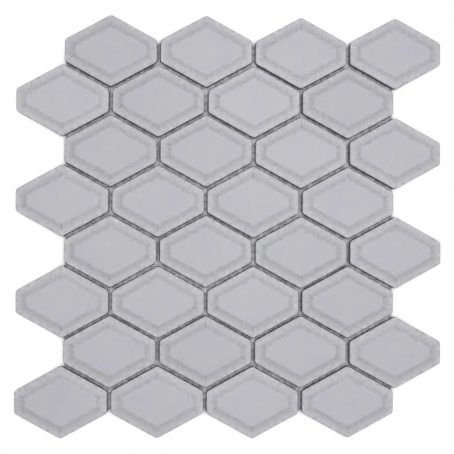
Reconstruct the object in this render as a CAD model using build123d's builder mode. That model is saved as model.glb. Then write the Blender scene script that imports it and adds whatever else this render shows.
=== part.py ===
"""Diamond mosaic tile: one sheet of glazed ceramic tiles on an open net of glass-fibre threads.

Each tile is one pressed and fired piece, an elongated hexagon that lies on its back with its glazed face up.
A low rim runs round its face. The rim's outer edge is rounded and its top is flat, and from there a cove sweeps up
ever steeper to a narrow sloping shoulder and the raised flat panel. One section makes them all, mitred at the six
corners. Shallow keying pockets with ribs between them are pressed into the back.

The tiles stand in staggered rows, one joint apart, each within the small play of the setting tray. Two crossed
layers of flat threads are bonded across their backs and stop just inside the sheet's outline.

+X runs along the rows, +Y across them, +Z out of the glazed faces. The origin is the centre of the sheet's
underside. Lengths are in millimetres.
"""

import os
from math import atan2, ceil, cos, sin
from random import Random

from build123d import *

# One tile's outline: two upright sides joined by four slanting ones
tile_width = 64.6
tile_height = 50.8
side_length = 15.4
corner_radius = 1.2

# One tile's section
tile_thickness = 8.0
edge_radius = 0.8
rim_width = 1.8
cove_width = 4.9
shoulder_width = 1.6
cove_rise = 1.65
panel_rise = 2.2

# Keying pockets in one tile's back
pocket_depth = 0.6
pocket_border = 7.0
rib_width = 4.0
rib_pitch = 14.0
rib_count = 2

# The sheet
row_count = 8
tiles_per_row = 4
joint_width = 2.5
setting_play = 0.35
tray_pattern = 754

# The net's threads: the crosswise layer lies against the tiles, the lengthwise layer under it
thread_width = 1.0
thread_thickness = 0.25
net_pitch = 5.0
net_margin = 1.2

# Worked out from the sizes above
lean = atan2((tile_height - side_length) / 2, tile_width / 2)
panel_inset = rim_width + cove_width + shoulder_width
column_pitch = tile_width + joint_width
row_pitch = (tile_height + side_length) / 2 + joint_width * (1 - sin(lean) / 2) / cos(lean)
sheet_width = (tiles_per_row + 0.5) * column_pitch
sheet_height = (row_count - 1) * row_pitch + tile_height
net_thickness = 2 * thread_thickness
overshoot = 1.0


def diamond(inset=0.0):
    """The six corners of a tile's outline drawn in by inset, anticlockwise from the lower right."""
    half_width = tile_width / 2 - inset
    side_end = side_length / 2 - inset * (1 - sin(lean)) / cos(lean)
    point = tile_height / 2 - inset / cos(lean)
    return [
        (half_width, -side_end),
        (half_width, side_end),
        (0, point),
        (-half_width, side_end),
        (-half_width, -side_end),
        (0, -point),
    ]


def spot(row, column):
    """The centre that belongs to a tile, with every other row a quarter of a pitch right, then left, of centre."""
    stagger = 0.25 if row % 2 == 0 else -0.25
    x = (column - (tiles_per_row - 1) / 2 + stagger) * column_pitch
    y = ((row_count - 1) / 2 - row) * row_pitch
    return x, y


os.makedirs("parts", exist_ok=True)
places = [(row, column) for row in range(row_count) for column in range(tiles_per_row)]

# What the upper die presses away: outside the rounded edge, and over the rim, the cove and the shoulder
with BuildPart() as die:
    side_middle = (tile_width / 2, 0)
    with BuildLine(Plane.XY.offset(tile_thickness)) as face_outline:
        corners = diamond()
        Polyline(side_middle, *corners[1:], corners[0], side_middle)
    with BuildSketch(Plane(origin=(*side_middle, tile_thickness), x_dir=(-1, 0, 0), z_dir=(0, 1, 0))):
        with BuildLine():
            wall_top = -panel_rise - edge_radius
            shoulder_foot = (rim_width + cove_width, cove_rise - panel_rise)
            edge = TangentArc((edge_radius, -panel_rise), (0, wall_top), tangent=(-1, 0))
            cove = TangentArc((rim_width, -panel_rise), shoulder_foot, tangent=(1, 0))
            Line(edge @ 0, cove @ 0)
            Polyline(
                edge @ 1,
                (-overshoot, wall_top),
                (-overshoot, overshoot),
                (panel_inset, overshoot),
                (panel_inset, 0),
                cove @ 1,
            )
        make_face()
    sweep(path=face_outline.wire(), transition=Transition.RIGHT)

# One tile, lying on its back round the origin
with BuildPart() as tile:
    with BuildSketch() as outline:
        Polygon(*diamond(), align=None)
        fillet(outline.vertices(), corner_radius)
    extrude(amount=tile_thickness)
    add(die.part, mode=Mode.SUBTRACT)
    with BuildSketch():
        Polygon(*diamond(pocket_border), align=None)
        with GridLocations(rib_pitch, 0, rib_count, 1):
            Rectangle(rib_width, tile_height, mode=Mode.SUBTRACT)
    extrude(amount=pocket_depth, mode=Mode.SUBTRACT)

# The tiles in their rows, each a little off its spot
tray = Random(tray_pattern)
for row, column in places:
    x, y = spot(row, column)
    x += tray.uniform(-setting_play, setting_play)
    y += tray.uniform(-setting_play, setting_play)
    with BuildPart() as set_tile:
        with Locations((x, y, net_thickness)):
            add(tile.part)
    name = f"tile_r{row + 1}_c{column + 1}"
    set_tile.part.label = name
    export_step(set_tile.part, f"parts/{name}.step")

# The net's trimmed outline: the tiles' own outlines grown until they meet, then drawn in from the outer edges
with BuildSketch() as net_outline:
    for row, column in places:
        with Locations(spot(row, column)):
            Polygon(*diamond(-joint_width / 2), align=None)
    offset(amount=-joint_width / 2 - net_margin, kind=Kind.INTERSECTION)

# The crosswise threads, bonded to the tiles' backs
with BuildPart() as crosswise_threads:
    with BuildSketch(Plane.XY.offset(thread_thickness)):
        with GridLocations(0, net_pitch, 1, ceil(sheet_height / net_pitch)):
            Rectangle(sheet_width, thread_width)
        add(net_outline.sketch, mode=Mode.INTERSECT)
    extrude(amount=thread_thickness)

# The lengthwise threads, bonded under the crosswise ones
with BuildPart() as lengthwise_threads:
    with BuildSketch():
        with GridLocations(net_pitch, 0, ceil(sheet_width / net_pitch), 1):
            Rectangle(thread_width, sheet_height)
        add(net_outline.sketch, mode=Mode.INTERSECT)
    extrude(amount=thread_thickness)

crosswise_threads.part.label = "net_crosswise_threads"
lengthwise_threads.part.label = "net_lengthwise_threads"
export_step(crosswise_threads.part, "parts/net_crosswise_threads.step")
export_step(lengthwise_threads.part, "parts/net_lengthwise_threads.step")
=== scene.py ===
"""The looks of the diamond mosaic sheet: tiles under a pale grey glaze, on a woven glass-fibre net.

Lengths are in metres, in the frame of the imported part: +X along the rows, +Y across them, +Z out of the
faces.
"""

from math import atan2, cos, pi, radians, sin

import bmesh
import bpy
import numpy as np
from bpy.props import FloatProperty, FloatVectorProperty, IntProperty, PointerProperty
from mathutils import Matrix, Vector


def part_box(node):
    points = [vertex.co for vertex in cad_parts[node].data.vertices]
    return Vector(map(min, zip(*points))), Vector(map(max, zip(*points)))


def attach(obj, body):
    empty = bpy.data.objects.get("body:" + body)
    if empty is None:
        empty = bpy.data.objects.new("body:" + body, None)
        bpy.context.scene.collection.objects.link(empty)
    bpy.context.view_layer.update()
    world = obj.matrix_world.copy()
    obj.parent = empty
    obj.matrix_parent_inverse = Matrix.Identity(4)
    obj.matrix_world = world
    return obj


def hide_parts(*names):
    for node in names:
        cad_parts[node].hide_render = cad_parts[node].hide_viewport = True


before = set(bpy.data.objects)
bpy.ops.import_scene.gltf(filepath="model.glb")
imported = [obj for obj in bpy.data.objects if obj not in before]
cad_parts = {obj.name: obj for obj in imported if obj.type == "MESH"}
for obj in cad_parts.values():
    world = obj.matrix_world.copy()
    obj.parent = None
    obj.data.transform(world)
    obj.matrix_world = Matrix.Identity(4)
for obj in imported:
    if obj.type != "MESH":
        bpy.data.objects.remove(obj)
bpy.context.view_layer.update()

bl_info = {
    "name": "Diamond Mosaic Sheet",
    "version": (1, 0, 0),
    "blender": (4, 5, 0),
    "location": "3D View > Sidebar > Mosaic",
    "description": "Glazes the tiles of a mosaic sheet, weaves its net and sets its stage",
    "category": "Object",
}

BODY = "root"
TILE_NODES = sorted(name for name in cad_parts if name.startswith("tile_"))
CROSSWISE_NODE = "net_crosswise_threads"
LENGTHWISE_NODE = "net_lengthwise_threads"
MM = 0.001
WHITE = (1.0, 1.0, 1.0, 1.0)

# Smaller than any length, or share of a length, that matters
HAIR = 1e-6

# How finely a tile is divided: the rings on each stretch of its section, counted with both ends
WALL_RINGS = 9
EDGE_RINGS = 8
RIM_RINGS = 4
ARC_RINGS = 9
PANEL_RINGS = 10

# The points spread over a side, the shares of it near its ends where more lie, and the steps round a corner
SIDE_POINTS = 8
SIDE_END_POINTS = (0.008, 0.02, 0.045, 0.09)
CORNER_TURNS = 4

# The glaze's slow waves, and the seed of the draws that give each tile its own waves and tone
WAVE_STRIDES = (0.019, 0.013, 0.0085)
GLAZE_SEED = 5

# Edges that bend by more than this look sharp
TILE_EDGE_ANGLE = radians(50)
STRAND_EDGE_ANGLE = radians(70)

SENSOR_WIDTH = 36.0
NEAREST_SEEN = 0.01
FURTHEST_SEEN = 50.0
FLOOR_GAP = 0.00002


def length(name, description, default):
    """A property that holds a length in metres."""
    return FloatProperty(
        name=name, description=description, default=default, min=0.0, unit="LENGTH", precision=5
    )


def amount(name, description, default):
    """A property that holds a plain number."""
    return FloatProperty(name=name, description=description, default=default, min=0.0)


def colour(name, description, default):
    """A property that holds a colour, as the linear amounts of red, green and blue."""
    return FloatVectorProperty(
        name=name, description=description, default=default, size=3, subtype="COLOR", min=0, max=1
    )


def place(name, description, default):
    """A property that holds a place."""
    return FloatVectorProperty(name=name, description=description, default=default, subtype="TRANSLATION")


class TileSettings(bpy.types.PropertyGroup):
    """One tile's sizes and the finish of its glaze and body."""

    width: length("Width", "From one upright side to the other", 0.0646)
    height: length("Height", "From point to point", 0.0508)
    side: length("Side", "Length of an upright side", 0.0154)
    corner_radius: length("Corner radius", "Rounding of the six upright corners", 0.003)
    rim_radius: length("Rim radius", "Rounding of the six corners where the rim ends", 0.001)
    panel_radius: length("Panel radius", "Rounding of the panel's six corners", 0.0008)
    edge_radius: length("Edge radius", "Rounding of the face's outer edge", 0.0008)
    rim: length("Rim", "Width of the rim with its rounded edge", 0.0018)
    cove: length("Cove", "Width of the hollow that sweeps up from the rim", 0.0048)
    shoulder: length("Shoulder", "Width of the bend from the cove onto the panel", 0.0016)
    rise: length("Rise", "How far the panel stands above the rim", 0.0022)
    wave: length("Wave", "Height of the glaze's slow waves", 0.000012)
    foot_bevel: length("Foot bevel", "Bevel round the edge of the back", 0.0003)
    pocket_depth: length("Pocket depth", "Depth of the keying pockets", 0.0006)
    pocket_border: length("Pocket border", "Width of the flat border round the pockets", 0.007)
    rib_width: length("Rib width", "Width of a rib between two pockets", 0.004)
    rib_pitch: length("Rib pitch", "Distance between the ribs' middles", 0.014)
    glaze_foot: length("Glaze foot", "Height at which the glaze ends on a wall", 0.0026)
    glaze_wander: length("Glaze wander", "Height over which the glaze's end wanders", 0.0016)
    joint_reach: length("Joint reach", "How near a wall has to be to shade another", 0.004)
    tone_spread: amount("Tone spread", "How far tiles differ in tone", 0.02)
    panel_colour: colour("Panel", "Glaze on the panel", (0.448, 0.443, 0.477))
    rim_colour: colour("Rim", "Glaze on the rim", (0.459, 0.453, 0.480))
    bloom_colour: colour("Bloom", "Lavender patches in the glaze", (0.436, 0.425, 0.494))
    bloom_strength: amount("Bloom strength", "How strongly the lavender patches show", 0.6)
    cast_colour: colour("Cast", "Greener patches in the glaze", (0.452, 0.461, 0.455))
    cast_strength: amount("Cast strength", "How strongly the greener patches show", 0.7)
    # Painted shade: a broken darker line beside the panel's edge
    edge_shade_colour: colour("Pool", "Painted shade beside the panel's edge", (0.345, 0.338, 0.360))
    edge_shade_strength: amount("Pool strength", "How strongly the painted edge shade shows", 0.45)
    # Painted shade in the creases where the cove turns a corner
    crease_shade_colour: colour("Crease", "Painted shade in the creases at the corners", (0.250, 0.245, 0.262))
    crease_shade_strength: amount("Crease strength", "How strongly the creases show", 0.95)
    body_colour: colour("Body", "Fired clay without glaze", (0.420, 0.418, 0.420))
    grit_colour: colour("Grit", "Coarse grains in the fired clay", (0.34, 0.335, 0.33))
    grit_strength: amount("Grit strength", "How strongly the grains show", 0.3)
    # Painted shade on the walls where they stand close in a joint
    joint_shade_colour: colour("Joint", "Walls where they stand close in a joint", (0.170, 0.167, 0.184))
    joint_shade_strength: amount("Joint strength", "How strongly close walls are shaded", 0.8)


class NetSettings(bpy.types.PropertyGroup):
    """The net's threads."""

    pitch: length("Pitch", "Distance between two threads", 0.005)
    thread_width: length("Thread width", "Width of a flat thread", 0.001)
    waist: amount("Waist", "Share by which a thread narrows between crossings", 0.07)
    step: length("Step", "Length of one segment of a thread", 0.00145)
    sides: IntProperty(name="Sides", description="Corners of a thread's section", default=8, min=4)
    thread_colour: colour("Thread", "Coated glass fibre", (0.74, 0.72, 0.773))
    # Painted shade between a thread's strands, and the tone of its duller stretches
    gap_shade_and_dull_colour: colour("Gap", "Shade between two strands of a thread", (0.54, 0.526, 0.57))
    # Painted shade on the threads where they pass close to the tiles' feet
    foot_shade_colour: colour("Foot", "Painted shade on the threads along the tiles' feet", (0.05, 0.05, 0.055))
    foot_shade_reach: length("Foot reach", "How far from a wall painted shade darkens a thread", 0.0010)


class StageSettings(bpy.types.PropertyGroup):
    """The camera, the lamps and the floor."""

    camera_place: place("Camera", "Where the camera is", (-0.05826, -0.02151, 1.0045))
    camera_turn: FloatVectorProperty(
        name="Turn",
        description="How the camera is turned from looking straight down",
        default=(radians(1.207), radians(-3.234), radians(0.256)),
        subtype="EULER",
    )
    camera_lens: amount("Lens", "Focal length in mm for a 36 mm sensor", 112.65)
    fill: amount("Fill", "Strength of the light from all round", 0.50)
    softbox_power: amount("Softbox power", "Watts of the overhead lamp", 3.55)
    softbox_size: length("Softbox size", "Side of the square overhead lamp", 0.68)
    softbox_place: place("Softbox", "Where the overhead lamp is", (0.07, 0.068, 0.73))
    floor_size: length("Floor", "Side of the square floor", 12.0)
    floor_colour: colour("Floor", "The floor where the sheet shades it", (0.74, 0.725, 0.78))
    # Painted shade on the floor along the tiles' feet
    crack_shade_colour: colour("Crack", "The floor along the tiles' feet", (0.05, 0.05, 0.055))
    crack_shade_reach: length("Crack reach", "How far from a wall the floor darkens", 0.0010)
    open_reach: length("Open reach", "How far the floor looks for walls that shade it", 0.02)
    lift: length("Lift", "Light that comes from nearer than this passes through the floor", 0.0014)
    full_lift: length("Full lift", "Light that comes from further than this meets the floor", 0.0022)


# Shader maths


class Value:
    """A number that varies over a surface: the arithmetic on its socket adds Math nodes to the material."""

    def __init__(self, finish, socket):
        self.finish = finish
        self.socket = socket

    def maths(self, operation, *numbers, clamp=False):
        """The result of one Math node on the numbers."""
        settings = {"operation": operation, "use_clamp": clamp}
        return self.finish.node("ShaderNodeMath", settings, dict(enumerate(numbers)))[0]

    def __add__(self, other):
        return self.maths("ADD", self, other)

    def __radd__(self, other):
        return self.maths("ADD", other, self)

    def __sub__(self, other):
        return self.maths("SUBTRACT", self, other)

    def __rsub__(self, other):
        return self.maths("SUBTRACT", other, self)

    def __mul__(self, other):
        return self.maths("MULTIPLY", self, other)

    def __rmul__(self, other):
        return self.maths("MULTIPLY", other, self)

    def __abs__(self):
        return self.maths("ABSOLUTE", self)

    def clamped(self):
        """The number held between 0 and 1."""
        return self.maths("ADD", self, 0.0, clamp=True)

    def rise(self, low, high):
        """0 below low, 1 above high, and a smooth slope between them."""
        settings = {"interpolation_type": "SMOOTHSTEP", "clamp": True}
        sockets = {"Value": self, "From Min": low, "From Max": high, "To Min": 0.0, "To Max": 1.0}
        return self.finish.node("ShaderNodeMapRange", settings, sockets)[0]

    def near(self, middle, reach):
        """1 where the value is middle, falling smoothly to 0 at reach on either side."""
        return 1 - abs(self - middle).rise(0.0, reach)


class Finish:
    """A procedural material and the few ways that its nodes are made and joined."""

    def __init__(self, owner, output="ShaderNodeOutputMaterial"):
        owner.use_nodes = True
        self.owner = owner
        self.tree = owner.node_tree
        self.tree.nodes.clear()
        self.output = self.tree.nodes.new(output)

    def node(self, kind, settings, sockets):
        """Adds a node with its settings and sockets, and gives its outputs by name and by number."""
        made = self.tree.nodes.new(kind)
        for name, setting in settings.items():
            setattr(made, name, setting)
        for name, given in sockets.items():
            if isinstance(given, Value):
                self.tree.links.new(given.socket, made.inputs[name])
            else:
                made.inputs[name].default_value = given
        outputs = [Value(self, socket) for socket in made.outputs]
        return {**dict(enumerate(outputs)), **{output.socket.name: output for output in outputs}}

    def spot(self):
        """The place in the piece's own frame."""
        return self.node("ShaderNodeTexCoord", {}, {})["Object"]

    def height(self):
        """How high the place is."""
        return self.node("ShaderNodeSeparateXYZ", {}, {0: self.spot()})["Z"]

    def stretched(self, scale, vector):
        """A vector with each of its coordinates times its own scale."""
        return self.node("ShaderNodeVectorMath", {"operation": "MULTIPLY"}, {0: vector, 1: scale})[0]

    def attribute(self, name, output="Fac"):
        """What the mesh holds at each vertex: a number, or a row of three with the output Vector."""
        return self.node("ShaderNodeAttribute", {"attribute_name": name}, {})[output]

    def noise(self, scale, detail, vector=None):
        """Soft irregular patches between 0 and 1, scale of them to a metre."""
        sockets = {"Vector": vector or self.spot(), "Scale": scale, "Detail": detail}
        return self.node("ShaderNodeTexNoise", {}, sockets)[0]

    def mix(self, factor, first, second):
        """The first colour where factor is 0, and the second where it is 1."""
        sockets = {0: factor, 6: opaque(first), 7: opaque(second)}
        return self.node("ShaderNodeMix", {"data_type": "RGBA"}, sockets)[2]

    def brightened(self, colour, level):
        """The colour times a level that varies over the surface."""
        return self.node("ShaderNodeVectorMath", {"operation": "SCALE"}, {0: colour, "Scale": level})[0]

    def bump(self, height, distance, strength=1.0, normal=None):
        """A normal that follows height, where a height of 1 stands distance proud."""
        sockets = {"Height": height, "Distance": distance, "Strength": strength}
        if normal is not None:
            sockets["Normal"] = normal
        return self.node("ShaderNodeBump", {}, sockets)[0]

    def openness(self, reach):
        """How open the place is, from 0 in a crack to 1 in the open, counting what lies within reach."""
        return self.node("ShaderNodeAmbientOcclusion", {"samples": 16}, {"Distance": reach})["AO"]

    def seen(self):
        """1 for what the camera sees directly, in gloss or through glass, and 0 for other light."""
        rays = self.node("ShaderNodeLightPath", {}, {})
        return (rays["Is Camera Ray"] + rays["Is Glossy Ray"] + rays["Is Transmission Ray"]).clamped()

    def shader(self, kind, sockets):
        """A shader of that kind, to be mixed with others."""
        return self.node(kind, {}, sockets)[0]

    def end(self, kind, sockets):
        """Adds the shader that the surface ends with, and gives the finished material."""
        self.tree.links.new(self.shader(kind, sockets).socket, self.output.inputs["Surface"])
        return self.owner


def opaque(colour):
    """A colour with its alpha of 1, or the link that carries one."""
    return colour if isinstance(colour, Value) else (*colour[:3], 1.0)


def foot_shade(finish, reach):
    """How dark a place is: 1 in painted shade along the tiles' feet, up to 0.35 in patches away from them.
    """
    patches = finish.noise(95, 2).rise(0.35, 0.7) * 0.35
    return 1 - finish.openness(reach).rise(0.62, 0.92) * (1 - patches)


# Surfaces


def mesh_of(name, points, faces):
    """A mesh of the points and faces, with doubled points merged, slivers gone and its normals outwards."""
    mesh = bpy.data.meshes.new(name)
    mesh.from_pydata(points.reshape(-1, 3), [], faces)
    shape = bmesh.new()
    shape.from_mesh(mesh)
    bmesh.ops.remove_doubles(shape, verts=shape.verts, dist=2 * HAIR)
    bmesh.ops.dissolve_degenerate(shape, edges=shape.edges, dist=HAIR)
    bmesh.ops.recalc_face_normals(shape, faces=shape.faces)
    shape.to_mesh(mesh)
    shape.free()
    return mesh


def places_of(mesh):
    """The places of a mesh's vertices, one to a row."""
    places = np.empty(len(mesh.vertices) * 3)
    mesh.vertices.foreach_get("co", places)
    return places.reshape(-1, 3)


def hold(mesh, name, numbers):
    """Gives each vertex its number, or its row of three, for a material to read."""
    kind, field = ("FLOAT", "value") if numbers.ndim == 1 else ("FLOAT_VECTOR", "vector")
    mesh.attributes.new(name, kind, "POINT").data.foreach_set(field, numbers.ravel())


def grid_faces(rows, columns, closed=False):
    """The quads of a grid of points, row after row, its last column joined to its first if closed."""
    stretches = columns if closed else columns - 1
    row, column = np.meshgrid(np.arange(rows - 1), np.arange(stretches), indexing="ij")
    here, above = row * columns, (row + 1) * columns
    right = (column + 1) % columns
    corners = [here + column, here + right, above + right, above + column]
    return np.stack(corners, axis=-1).reshape(-1, 4)


def show(name, mesh, material, replaced, edge_angle):
    """Puts a finished mesh in the scene as a piece that rides on the sheet and stands for a node."""
    mesh.materials.append(material)
    piece = bpy.data.objects.new(name, mesh)
    bpy.context.scene.collection.objects.link(piece)
    mesh.shade_smooth()
    mesh.set_sharp_from_angle(angle=edge_angle)
    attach(piece, BODY)
    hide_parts(replaced)


class Diamond:
    """The outline of a tile and the curves that run beside it."""

    def __init__(self, tile):
        self.half_width = tile.width / 2
        self.half_height = tile.height / 2
        self.half_side = tile.side / 2
        self.lean = atan2(self.half_height - self.half_side, self.half_width)
        upper = pi / 2 - self.lean
        self.normals = np.array([0.0, upper, pi - upper, pi, pi + upper, 2 * pi - upper])

    def corners(self, inset):
        """The six corners, anticlockwise from the lower right, of the outline drawn in by each inset."""
        across = self.half_width - inset
        side = self.half_side - inset * (1 - sin(self.lean)) / cos(self.lean)
        point = self.half_height - inset / cos(self.lean)
        none = np.zeros_like(inset)
        x = np.stack([across, across, none, -across, -across, none], axis=-1)
        y = np.stack([-side, side, point, side, -side, -point], axis=-1)
        return np.stack([x, y], axis=-1)

    def rings(self, inset, radius, fractions, turns):
        """Closed curves, one to each inset: straight sides joined by round corners.

        A point is the place at its fraction of the side of an outline drawn in by inset + radius, moved
        out by radius along that side's normal. At a corner the normal turns from one side's to the next
        in as many steps as turns says.
        """
        count = len(fractions)
        side = np.repeat(np.arange(6), count + turns - 1)
        share = np.tile(np.concatenate([fractions, np.ones(turns - 1)]), 6)
        turn = np.tile(np.concatenate([np.zeros(count), np.arange(1, turns) / turns]), 6)
        following = np.append(self.normals[1:], 2 * pi)
        angle = self.normals[side] + turn * (following - self.normals)[side]
        corners = self.corners(inset + radius)
        start, end = corners[:, side], corners[:, (side + 1) % 6]
        outward = np.stack([np.cos(angle), np.sin(angle)], axis=-1)
        return start + share[:, None] * (end - start) + radius[:, None, None] * outward

    def depths(self, x, y):
        """How far in from the outline each place is, and how far from the nearest corner's mitre line."""
        slanting = self.half_height * cos(self.lean)
        reach = np.array([self.half_width, slanting, slanting, self.half_width, slanting, slanting])
        out = np.multiply.outer(x, np.cos(self.normals)) + np.multiply.outer(y, np.sin(self.normals))
        nearest = np.sort(reach - out, axis=-1)
        return nearest[..., 0], nearest[..., 1] - nearest[..., 0]


def face_section(tile, thickness):
    """The section of a tile from the back's border over the wall, the rim and the cove to the panel.

    Gives each ring's inset, its corner radius and its height. A bevel leads onto the wall, which rises
    straight. A quarter arc turns it onto the flat rim. Two arcs that meet at one slope,
    2 * atan(rise / (cove + shoulder)), make the hollow of the cove and the shoulder's bend onto the
    panel. Each arc's radius is its width / sin(slope).
    """
    rim_top = thickness - tile.rise
    panel_edge = tile.rim + tile.cove + tile.shoulder
    wall = np.linspace(tile.foot_bevel, rim_top - tile.edge_radius, WALL_RINGS)
    quarter = np.linspace(0, pi / 2, EDGE_RINGS)[1:]
    edge_inset = tile.edge_radius * (1 - np.cos(quarter))
    edge_height = rim_top - tile.edge_radius * (1 - np.sin(quarter))
    rim_inset = np.linspace(tile.edge_radius, tile.rim, RIM_RINGS)[1:]
    rim_height = np.full(rim_inset.size, rim_top)
    slope = 2 * atan2(tile.rise, tile.cove + tile.shoulder)
    hollow = np.linspace(0, slope, ARC_RINGS)[1:]
    cove_inset = tile.rim + tile.cove * np.sin(hollow) / sin(slope)
    cove_height = rim_top + tile.cove * (1 - np.cos(hollow)) / sin(slope)
    bend = np.linspace(slope, 0, ARC_RINGS)[1:]
    shoulder_inset = panel_edge - tile.shoulder * np.sin(bend) / sin(slope)
    shoulder_height = thickness - tile.shoulder * (1 - np.cos(bend)) / sin(slope)

    border = [tile.pocket_border, tile.foot_bevel]
    inset = np.concatenate(
        [border, np.zeros(wall.size), edge_inset, rim_inset, cove_inset, shoulder_inset]
    )
    height = np.concatenate([[0, 0], wall, edge_height, rim_height, cove_height, shoulder_height])
    stops = [0, tile.rim, panel_edge]
    radius = np.interp(inset, stops, [tile.corner_radius, tile.rim_radius, tile.panel_radius])
    radius[0] = 0
    return inset, radius, height


def tile_mesh(tile, thickness):
    """One tile round the origin, its back at height 0.

    The outside is the section carried along the outline. The panel is the section's last ring drawn in
    to the centre. The back is a grid: each column runs from the lower to the upper edge of the border's
    inner outline, at pocket depth where the column lies in a pocket and at 0 where it lies on a rib.
    """
    outline = Diamond(tile)
    border = outline.corners(np.array(tile.pocket_border))
    reach = border[1, 0]
    ribs = np.array([tile.rib_pitch - tile.rib_width, tile.rib_pitch + tile.rib_width]) / 2

    def back_height(x):
        """0 on the ribs, and the depth of a pocket elsewhere inside the border."""
        away = np.abs(x)
        return np.where((away > ribs[0]) & (away < ribs[1]), 0, tile.pocket_depth)

    # The rings and the back share these fractions of a side, with a pair a hair apart at each rib's edge
    rib_edges = np.concatenate([ribs / reach, 1 - ribs / reach])
    ends = np.array(SIDE_END_POINTS)
    spread = np.linspace(0, 1, SIDE_POINTS)
    fractions = np.sort(np.concatenate([spread, ends, 1 - ends, rib_edges - HAIR, rib_edges + HAIR]))

    inset, radius, height = face_section(tile, thickness)
    rings = outline.rings(inset, radius, fractions, CORNER_TURNS)
    heights = np.repeat(height[:, None], rings.shape[1], axis=1)
    rings = np.concatenate([rings, heights[..., None]], axis=-1)
    drawn_in = np.linspace(1, 0, PANEL_RINGS)[1:, None, None] * np.array([1, 1, 0]) + np.array([0, 0, 1])
    panel = rings[-1] * drawn_in
    pocket_edge = rings[0].copy()
    pocket_edge[:, 2] = back_height(pocket_edge[:, 0])
    outside = np.concatenate([pocket_edge[None], rings, panel])
    points = outside.reshape(-1, 3)
    faces = grid_faces(*outside.shape[:2], closed=True)

    columns = np.concatenate([reach * (1 - fractions), -reach * fractions[1:]])
    top = np.interp(np.abs(columns), [0, reach], [border[2, 1], border[1, 1]])
    x = np.repeat(columns[:, None], fractions.size, axis=1)
    y = top[:, None] * (2 * fractions - 1)
    back = np.stack([x, y, back_height(x)], axis=-1)
    faces = np.concatenate([faces, grid_faces(*back.shape[:2]) + len(points)])
    return mesh_of("glazed_tile", np.concatenate([points, back.reshape(-1, 3)]), faces)


def glaze_wave(x, y, turn):
    """The glaze's slow waves, between -1 and 1.

    They are the mean of three sines of the distance along a heading, in strides. The wave of number k
    has the heading 1.7 * turn + k * (turn + 2.1) and the phase 5.1 * turn * (k + 1).
    """
    swing, fan, start = 1.7, 2.1, 5.1
    total = np.zeros_like(x)
    for number, stride in enumerate(WAVE_STRIDES):
        heading = turn * (number + swing) + number * fan
        along = x * cos(heading) + y * sin(heading)
        total += np.sin(2 * pi * along / stride + start * turn * (number + 1))
    return total / len(WAVE_STRIDES)


class MOSAIC_OT_glazed_tiles(bpy.types.Operator):
    """Make the glazed tiles, one for each tile of the part"""

    bl_idname = "mosaic.glazed_tiles"
    bl_label = "Glazed Tiles"

    def execute(self, context):
        tile = context.scene.mosaic_tile
        low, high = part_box(TILE_NODES[0])
        thickness = high.z - low.z
        master = tile_mesh(tile, thickness)
        rest = places_of(master)
        inset, mitre = Diamond(tile).depths(rest[:, 0], rest[:, 1])
        on_face = rest[:, 2] > thickness - tile.rise - HAIR
        waving = np.where(on_face, np.clip(inset / tile.edge_radius, 0, 1), 0) * tile.wave
        finish = glaze_finish(tile, low.z)
        chance = np.random.default_rng(GLAZE_SEED)
        for node in TILE_NODES:
            low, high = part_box(node)
            centre = np.array((low + high) / 2)
            centre[2] = low.z
            turn = chance.uniform(0, 2 * pi)
            tone = chance.normal(0, 1)
            points = rest.copy()
            points[:, 2] += (glaze_wave(rest[:, 0], rest[:, 1], turn) - 1) * waving
            mesh = master.copy()
            mesh.vertices.foreach_set("co", (points + centre).ravel())
            hold(mesh, "inset", inset / MM)
            hold(mesh, "mitre", mitre / MM)
            hold(mesh, "tone", np.full(len(points), tone))
            name = node.replace("tile", "glazed_tile")
            show(name, mesh, finish, node, TILE_EDGE_ANGLE)
        bpy.data.meshes.remove(master)
        return {"FINISHED"}


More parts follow.
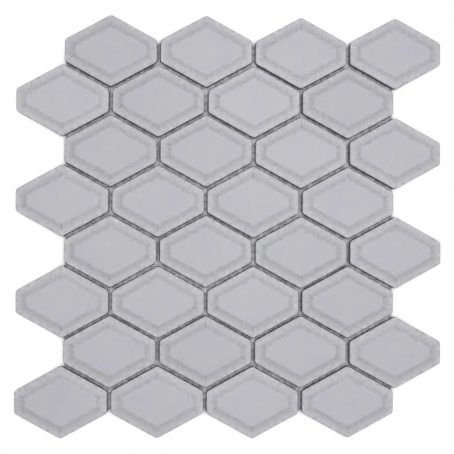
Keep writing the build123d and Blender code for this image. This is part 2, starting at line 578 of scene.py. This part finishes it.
def glaze_finish(tile, floor):
    """Pale glaze over fired clay.

    Patches of the glaze are lavender on the panel, and others are greener, most of all on the rim and
    the cove. Its mottle is livelier on the rim and the shoulder, and there it also holds painted glints.
    Painted shade makes a broken darker line beside the panel's edge and darkens the creases where the
    cove turns a corner. The glaze ends on the walls in an uneven line above the bare body, and painted
    shade darkens the walls where they stand close in a joint.
    """
    finish = Finish(bpy.data.materials.new("pale_glaze"))
    inset, mitre = finish.attribute("inset"), finish.attribute("mitre")
    tone, height = finish.attribute("tone"), finish.height()

    # Insets in millimetres: the cove begins at the foot and the shoulder at the brow
    foot, brow = tile.rim / MM, (tile.rim + tile.cove) / MM
    on_wall = 1 - inset.rise(0.25, 0.9)
    on_rim = 1 - inset.rise(foot - 0.8, foot + 0.6)
    on_cove = inset.rise(foot + 2.0, foot + 2.8) * (1 - inset.rise(brow + 0.4, brow + 1.6))
    on_shoulder = inset.near(brow + 0.9, 1.4)
    off_panel = 1 - inset.rise(brow + 1.6, brow + 2.8)
    on_panel = inset.rise(brow, brow + 2.0)
    panel_edge = inset.near(brow + 1.2, 0.6)

    grain = finish.noise(420, 3)
    bloom = finish.noise(85, 1).rise(0.46, 0.66) * on_panel
    cast = finish.noise(60, 2).rise(0.48, 0.66) * (1 - inset.rise(foot, brow + 2.0) * 0.75)
    # Painted shade: a broken darker line where the shoulder bends onto the panel
    edge_shade = panel_edge * grain.rise(0.42, 0.62)
    # Painted shade: dark ticks along the corner mitres of the cove
    crease = mitre.near(0, 0.5) * on_cove * finish.noise(75, 1).rise(0.3, 0.72)
    glaze = finish.mix(inset.rise(foot + 1.0, brow), tile.rim_colour, tile.panel_colour)
    glaze = finish.mix(bloom * tile.bloom_strength, glaze, tile.bloom_colour)
    glaze = finish.mix(cast * tile.cast_strength, glaze, tile.cast_colour)
    glaze = finish.mix(edge_shade * tile.edge_shade_strength, glaze, tile.edge_shade_colour)
    glaze = finish.mix(crease * tile.crease_shade_strength, glaze, tile.crease_shade_colour)
    drift = (finish.noise(30, 2) - 0.5) * 0.06
    # Uneven glaze, livelier on the rim and shoulder, where the speckle also holds painted glints
    mottle_and_glints = (grain - 0.5) * (0.10 + 0.32 * off_panel + 0.3 * on_shoulder + 0.55 * on_rim)
    glaze = finish.brightened(glaze, 1 + tone * tile.tone_spread + drift + mottle_and_glints)

    lip = floor + tile.glaze_foot + (finish.noise(160, 2) - 0.5) * tile.glaze_wander
    glazed = (height - lip).rise(0.0, 0.00025)
    grit = finish.noise(2600, 4)
    clay = finish.mix(grit.rise(0.35, 0.75) * tile.grit_strength, tile.body_colour, tile.grit_colour)
    # Painted shade: the walls darken where another wall stands close across a joint
    joint_shade = (1 - finish.openness(tile.joint_reach).rise(0.55, 1.0)) * on_wall
    surface = finish.mix(glazed, clay, glaze)

    pinholes = finish.noise(1500, 2).rise(0.72, 0.8)
    glaze_roughness = 0.42 + 0.1 * finish.noise(240, 3) + pinholes * 0.2
    clay_roughness = 0.85
    ripple = finish.bump(finish.noise(260, 2) * glazed, 0.00006)
    return finish.end(
        "ShaderNodeBsdfPrincipled",
        {
            "Base Color": finish.mix(joint_shade * tile.joint_shade_strength, surface, tile.joint_shade_colour),
            "Roughness": clay_roughness - glazed * (clay_roughness - glaze_roughness),
            "Normal": finish.bump(grit * (1 - glazed), 0.00012, 0.8, ripple),
            "IOR": 1.5,
        },
    )


def bars(node, along):
    """The threads of a layer, each as its middle across the layer, its start and its end.

    Each triangle of the layer covers a stretch of one thread's line. The lines are laid end to end, far
    apart. Sorted along them, a new thread begins wherever a stretch starts beyond the end of all those
    before it.
    """
    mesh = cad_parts[node].data
    mesh.calc_loop_triangles()
    corner = np.empty(len(mesh.loop_triangles) * 3, dtype=int)
    mesh.loop_triangles.foreach_get("vertices", corner)
    triangles = places_of(mesh)[corner.reshape(-1, 3)]
    pitch = bpy.context.scene.mosaic_net.pitch
    far = 10.0
    line = np.round(triangles[..., 1 - along].mean(axis=1) / pitch * 2) / 2
    start = line * far + triangles[..., along].min(axis=1)
    end = line * far + triangles[..., along].max(axis=1)
    order = np.argsort(start)
    line, start, end = line[order], start[order], end[order]
    reached = np.maximum.accumulate(end)
    first = np.append(True, start[1:] > reached[:-1] + 10 * HAIR)
    last = np.append(first[1:], True)
    middle = line[first] * pitch
    return np.stack([middle, start[first] - line[first] * far, reached[last] - line[last] * far], axis=-1)


def strand_mesh(name, node, along, net, corner, sign):
    """The woven strands of one layer, each following the middle of its thread.

    A strand is a flat ellipse carried along its line. Its middle swings up and down by a quarter of the
    net's thickness, as sign * cos(pi * (x + y from the first crossing) / pitch), over one crossing
    strand and under the next, and it is a little narrower between the crossings. Its first and last
    rings are drawn in to a point in the plane of their neighbours, so its cut ends are flat.
    """
    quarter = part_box(CROSSWISE_NODE)[1].z / 4
    lines = bars(node, along)
    counts = np.ceil((lines[:, 2] - lines[:, 1]) / net.step).astype(int) + 3
    strand = np.repeat(np.arange(len(lines)), counts)
    ring = np.arange(counts.sum()) - np.repeat(np.cumsum(counts) - counts, counts)
    last = (counts - 1)[strand]
    share = np.clip((ring - 1) / (last - 2), 0, 1)
    line, start, end = lines[strand].T
    run = start + share * (end - start)
    phase = pi * (run - corner[along] + line - corner[1 - along]) / net.pitch
    size = np.where((ring == 0) | (ring == last), 0.0, 1.0)
    half_width = net.thread_width / 2 * size * (1 - net.waist + net.waist * np.cos(2 * phase))
    middle = quarter * (2 + sign * np.cos(phase))

    angle = 2 * pi * np.arange(net.sides) / net.sides
    across = line[:, None] + half_width[:, None] * np.cos(angle)
    height = middle[:, None] + quarter * size[:, None] * np.sin(angle)
    lengthwise = np.repeat(run[:, None], net.sides, axis=1)
    plan = [lengthwise, across] if along == 0 else [across, lengthwise]
    points = np.stack([*plan, height], axis=-1)
    faces = grid_faces(len(run), net.sides, closed=True).reshape(-1, net.sides, 4)
    faces = faces[strand[1:] == strand[:-1]].reshape(-1, 4)
    mesh = mesh_of(name, points, faces)

    # How each point lies on its strand: along it, out from its middle, and which strand it is
    places = places_of(mesh)
    number = np.round(places[:, 1 - along] / net.pitch * 2) / 2
    out = places[:, 1 - along] - number * net.pitch
    hold(mesh, "lay", np.stack([places[:, along], out, number], axis=-1))
    return mesh


def thread_finish(net):
    """Coated glass fibre: painted shade between fibres, duller stretches, painted shade at the tiles' feet.
    """
    finish = Finish(bpy.data.materials.new("glass_fibre_thread"))
    lay = finish.attribute("lay", "Vector")
    fibres = finish.noise(1, 3, finish.stretched((260, 9000, 3.7), lay))
    dull = finish.noise(1, 2, finish.stretched((150, 400, 5.1), lay))
    # Painted shade in the gaps between the fine fibres; the duller stretches below are the thread's own
    # tone
    between = (1 - fibres.rise(0.3, 0.6)) * 0.75
    thread = finish.mix(between, net.thread_colour, net.gap_shade_and_dull_colour)
    thread = finish.mix(dull.rise(0.5, 0.75) * 0.3, thread, net.gap_shade_and_dull_colour)
    return finish.end(
        "ShaderNodeBsdfPrincipled",
        {
            # Painted shade darkens the threads along the tiles' feet
            "Base Color": finish.mix(foot_shade(finish, net.foot_shade_reach), thread, net.foot_shade_colour),
            "Roughness": 0.5 + 0.25 * dull,
            "Normal": finish.bump(fibres, 0.00005),
            "IOR": 1.5,
        },
    )


class MOSAIC_OT_net(bpy.types.Operator):
    """Weave the net, one set of strands for each layer of its threads"""

    bl_idname = "mosaic.net"
    bl_label = "Net"

    def execute(self, context):
        net = context.scene.mosaic_net
        finish = thread_finish(net)
        corner = bars(LENGTHWISE_NODE, 1)[0, 0], bars(CROSSWISE_NODE, 0)[0, 0]
        for name, node, along, sign in (
            ("crosswise_strands", CROSSWISE_NODE, 0, 1),
            ("lengthwise_strands", LENGTHWISE_NODE, 1, -1),
        ):
            mesh = strand_mesh(name, node, along, net, corner, sign)
            show(name, mesh, finish, node, STRAND_EDGE_ANGLE)
        return {"FINISHED"}


# The stage


def surroundings_finish(stage):
    """White to the camera and in reflections, and the fill light's strength for everything else."""
    finish = Finish(bpy.data.worlds.new("white_surroundings"), "ShaderNodeOutputWorld")
    strength = stage.fill + (1 - stage.fill) * finish.seen()
    return finish.end("ShaderNodeBackground", {"Color": WHITE, "Strength": strength})


def floor_finish(stage):
    """A pale floor that shows the sheet's shadow and has painted shade along the tiles' feet.

    It is white where it lies open, can't be seen from below, and lets pass the light that starts just above
    it, so that the sheet's underside is lit.
    """
    finish = Finish(bpy.data.materials.new("white_floor"))
    pale = finish.shader("ShaderNodeBsdfDiffuse", {"Color": opaque(stage.floor_colour)})
    dark = finish.shader("ShaderNodeBsdfDiffuse", {"Color": opaque(stage.crack_shade_colour)})
    # Painted shade darkens the floor along the tiles' feet
    shade = foot_shade(finish, stage.crack_shade_reach)
    shaded = finish.shader("ShaderNodeMixShader", {0: shade, 1: pale, 2: dark})
    white = finish.shader("ShaderNodeEmission", {"Color": WHITE, "Strength": 1.0})
    open_ground = finish.openness(stage.open_reach).rise(0.36, 0.6) * finish.seen()
    floor = finish.shader("ShaderNodeMixShader", {0: open_ground, 1: shaded, 2: white})
    clear = finish.shader("ShaderNodeBsdfTransparent", {})
    behind = finish.node("ShaderNodeNewGeometry", {}, {})["Backfacing"]
    ray_length = finish.node("ShaderNodeLightPath", {}, {})["Ray Length"]
    under = 1 - ray_length.rise(stage.lift, stage.full_lift)
    return finish.end("ShaderNodeMixShader", {0: (behind + under).clamped(), 1: floor, 2: clear})


def camera_of(stage):
    """The camera, which looks down on the sheet."""
    lens = bpy.data.cameras.new("camera")
    lens.lens = stage.camera_lens
    lens.sensor_width = SENSOR_WIDTH
    lens.clip_start = NEAREST_SEEN
    lens.clip_end = FURTHEST_SEEN
    camera = bpy.data.objects.new("camera", lens)
    camera.location = stage.camera_place
    camera.rotation_euler = stage.camera_turn
    return camera


def softbox_of(stage):
    """The square lamp overhead, which the camera doesn't see."""
    light = bpy.data.lights.new("softbox", "AREA")
    light.shape = "SQUARE"
    light.size = stage.softbox_size
    light.energy = stage.softbox_power
    lamp = bpy.data.objects.new("softbox", light)
    lamp.location = stage.softbox_place
    lamp.visible_camera = False
    return lamp


def floor_of(stage):
    """The floor, a square plane just below the sheet."""
    span = stage.floor_size * np.array([-0.5, 0.5])
    x, y = np.meshgrid(span, span)
    points = np.stack([x, y, np.full_like(x, -FLOOR_GAP)], axis=-1)
    plane = bpy.data.meshes.new("floor")
    plane.from_pydata(points.reshape(-1, 3), [], grid_faces(2, 2))
    plane.materials.append(floor_finish(stage))
    return bpy.data.objects.new("floor", plane)


class MOSAIC_OT_stage(bpy.types.Operator):
    """Set up the camera, the overhead lamp, the white surroundings and the floor"""

    bl_idname = "mosaic.stage"
    bl_label = "Stage"

    def execute(self, context):
        stage = context.scene.mosaic_stage
        camera, lamp, floor = camera_of(stage), softbox_of(stage), floor_of(stage)
        for made in (camera, lamp, floor):
            context.scene.collection.objects.link(made)
        context.scene.camera = camera
        context.scene.world = surroundings_finish(stage)
        context.scene.view_settings.view_transform = "Standard"
        return {"FINISHED"}


class MOSAIC_PT_sheet(bpy.types.Panel):
    """Lists the pieces of the mosaic sheet and its stage"""

    bl_idname = "MOSAIC_PT_sheet"
    bl_label = "Diamond Mosaic Sheet"
    bl_space_type = "VIEW_3D"
    bl_region_type = "UI"
    bl_category = "Mosaic"

    def draw(self, context):
        for operator in OPERATORS:
            self.layout.operator(operator.bl_idname)
        for group in SETTINGS:
            settings = getattr(context.scene, group)
            column = self.layout.column()
            for name in settings.__annotations__:
                column.prop(settings, name)


SETTINGS = {"mosaic_tile": TileSettings, "mosaic_net": NetSettings, "mosaic_stage": StageSettings}
OPERATORS = (MOSAIC_OT_glazed_tiles, MOSAIC_OT_net, MOSAIC_OT_stage)
CLASSES = (*SETTINGS.values(), *OPERATORS, MOSAIC_PT_sheet)


def register():
    for made in CLASSES:
        bpy.utils.register_class(made)
    for name, group in SETTINGS.items():
        setattr(bpy.types.Scene, name, PointerProperty(type=group))


def unregister():
    for name in SETTINGS:
        delattr(bpy.types.Scene, name)
    for made in reversed(CLASSES):
        bpy.utils.unregister_class(made)


def main():
    """Makes every piece and the stage."""
    register()
    bpy.ops.mosaic.glazed_tiles()
    bpy.ops.mosaic.net()
    bpy.ops.mosaic.stage()


if __name__ == "__main__":
    main()
